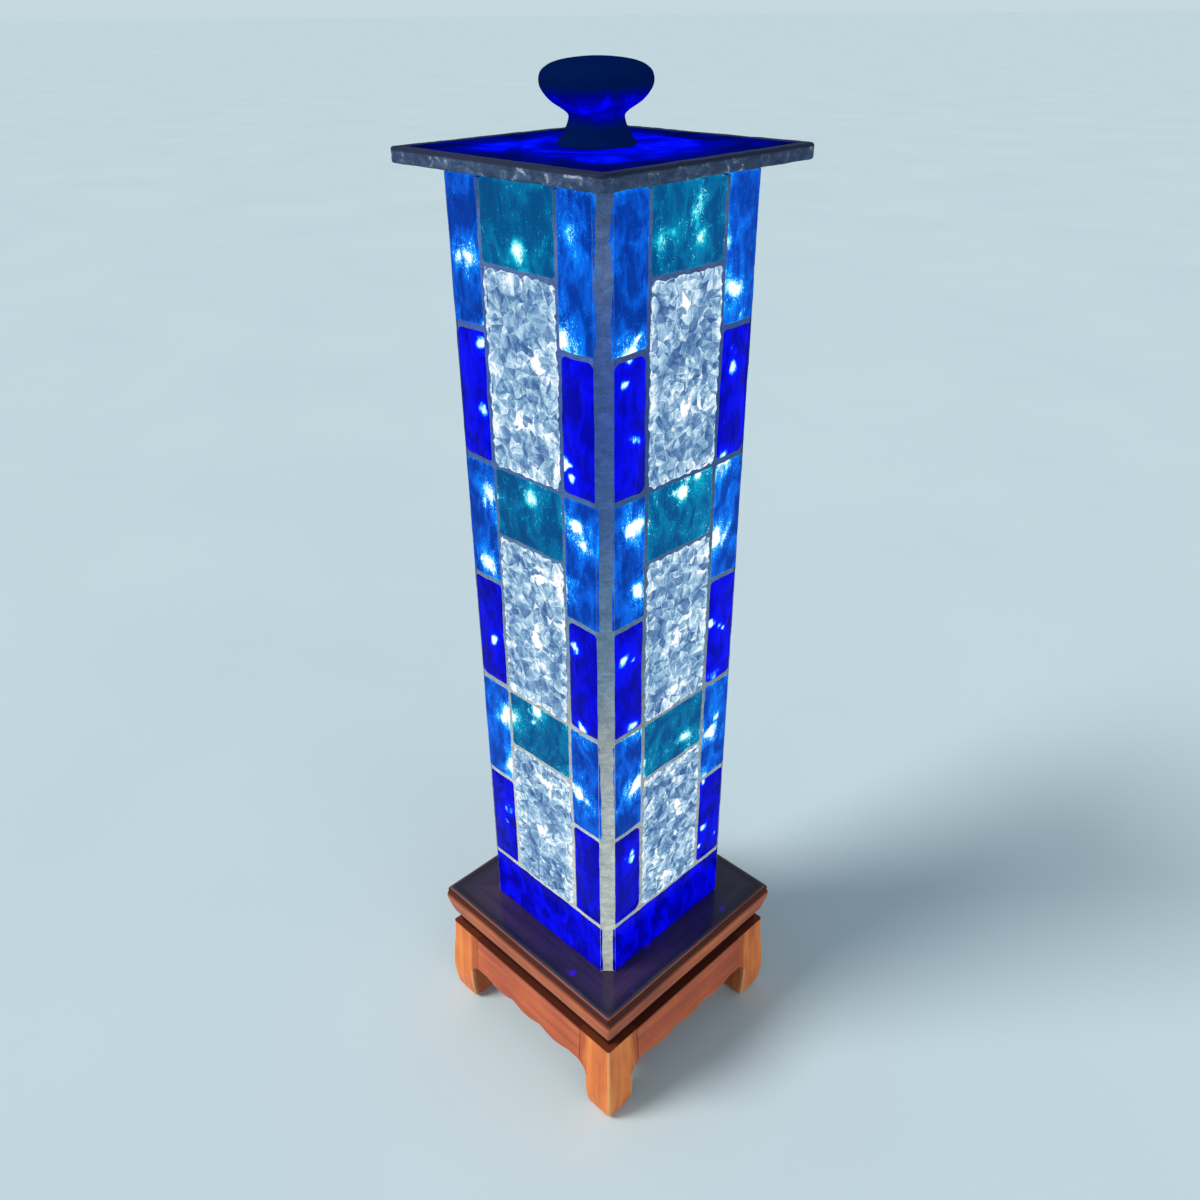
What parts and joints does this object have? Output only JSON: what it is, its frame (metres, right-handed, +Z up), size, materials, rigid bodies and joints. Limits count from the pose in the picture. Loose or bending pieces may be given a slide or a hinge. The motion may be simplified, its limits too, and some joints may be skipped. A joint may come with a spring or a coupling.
{
  "type": "mosaic glass lantern",
  "caption": "Tall square lantern of stained-glass mosaic on a glass vase, with a lift-off glass lid and knob, a battery light string inside and a carved wooden stand.",
  "frame": {"origin": "middle of the floor plane under the stand's four feet", "axes": "+Z up along the tower; the faces look along X and Y, with the front towards -Y"},
  "size_m": [0.129, 0.129, 0.4929],
  "materials": {
    "stand_wood": "satin oiled hardwood, straight grain",
    "block_wood": "sawn softwood",
    "vase_glass": "clear polished glass",
    "grout": "matt cement grout, lightly pitted",
    "clear_tile_glass": "clear glass with a crackled, chipped relief, lit from behind",
    "teal_tile_glass": "teal stained glass with a rippled back, lit from behind",
    "azure_tile_glass": "azure stained glass with a streaky body, lit from behind",
    "cobalt_tile_glass": "cobalt stained glass, lit from behind",
    "base_tile_glass": "cobalt stained glass, faintly lit",
    "lid_glass": "cobalt sheet glass lit from below",
    "lid_grout": "matt cement grout, pitted and smeared",
    "clear_acrylic": "clear acrylic",
    "knob_glass": "dark cobalt pressed glass",
    "screw_steel": "zinc plated",
    "washer_nylon": "natural nylon",
    "box_plastic": "fine texture",
    "cell_sleeve": "printed sleeve, plain",
    "contact_metal": "nickel plated",
    "switch_plastic": "satin",
    "wire_plastic": "clear sleeve over tinned wire",
    "bulb_glass": "clear resin drop over a cool white diode"
  },
  "bodies": {
    "stand": {"stand_top_board": "stand_wood", "stand_waist_rails": "stand_wood", "stand_apron_front": "stand_wood", "stand_apron_right": "stand_wood", "stand_apron_back": "stand_wood", "stand_apron_left": "stand_wood", "stand_leg_front_right": "stand_wood", "stand_leg_back_right": "stand_wood", "stand_leg_back_left": "stand_wood", "stand_leg_front_left": "stand_wood", "stand_corner_blocks": "block_wood"},
    "lantern": {"glass_vase": "vase_glass", "grout_front": "grout", "grout_right": "grout", "grout_back": "grout", "grout_left": "grout", "grout_corners": "grout", "clear_tile_front_1": "clear_tile_glass", "clear_tile_front_2": "clear_tile_glass", "clear_tile_front_3": "clear_tile_glass", "clear_tile_right_1": "clear_tile_glass", "clear_tile_right_2": "clear_tile_glass", "clear_tile_right_3": "clear_tile_glass", "clear_tile_back_1": "clear_tile_glass", "clear_tile_back_2": "clear_tile_glass", "clear_tile_back_3": "clear_tile_glass", "clear_tile_left_1": "clear_tile_glass", "clear_tile_left_2": "clear_tile_glass", "clear_tile_left_3": "clear_tile_glass", "teal_tiles_front": "teal_tile_glass", "teal_tiles_right": "teal_tile_glass", "teal_tiles_back": "teal_tile_glass", "teal_tiles_left": "teal_tile_glass", "azure_tiles_front": "azure_tile_glass", "azure_tiles_right": "azure_tile_glass", "azure_tiles_back": "azure_tile_glass", "azure_tiles_left": "azure_tile_glass", "cobalt_tiles_front": "cobalt_tile_glass", "cobalt_tiles_right": "cobalt_tile_glass", "cobalt_tiles_back": "cobalt_tile_glass", "cobalt_tiles_left": "cobalt_tile_glass", "base_tile_front": "base_tile_glass", "base_tile_right": "base_tile_glass", "base_tile_back": "base_tile_glass", "base_tile_left": "base_tile_glass", "battery_box": "box_plastic", "battery_cells": "cell_sleeve", "battery_contacts": "contact_metal", "light_wire": "wire_plastic", "light_bulbs": "bulb_glass"},
    "lid": {"lid_glass": "lid_glass", "lid_edge_band": "lid_grout", "lid_locating_strips": "clear_acrylic", "lid_knob": "knob_glass", "knob_screw": "screw_steel", "knob_washer": "washer_nylon"},
    "battery_cover": {"battery_cover": "box_plastic"},
    "switch": {"switch_slider": "switch_plastic"}
  },
  "joints": [
    {"name": "lantern_lift", "type": "slide", "parent": "stand", "child": "lantern", "axis": [0, 0, 1], "range_m": [0, 0.05]},
    {"name": "lid_lift", "type": "slide", "parent": "lantern", "child": "lid", "axis": [0, 0, 1], "range_m": [0, 0.06]},
    {"name": "battery_cover_lift", "type": "slide", "parent": "lantern", "child": "battery_cover", "axis": [0, 0, 1], "range_m": [0, 0.01]},
    {"name": "switch_slide", "type": "slide", "parent": "lantern", "child": "switch", "axis": [0, 1, 0], "range_m": [0, 0.0036]}
  ]
}
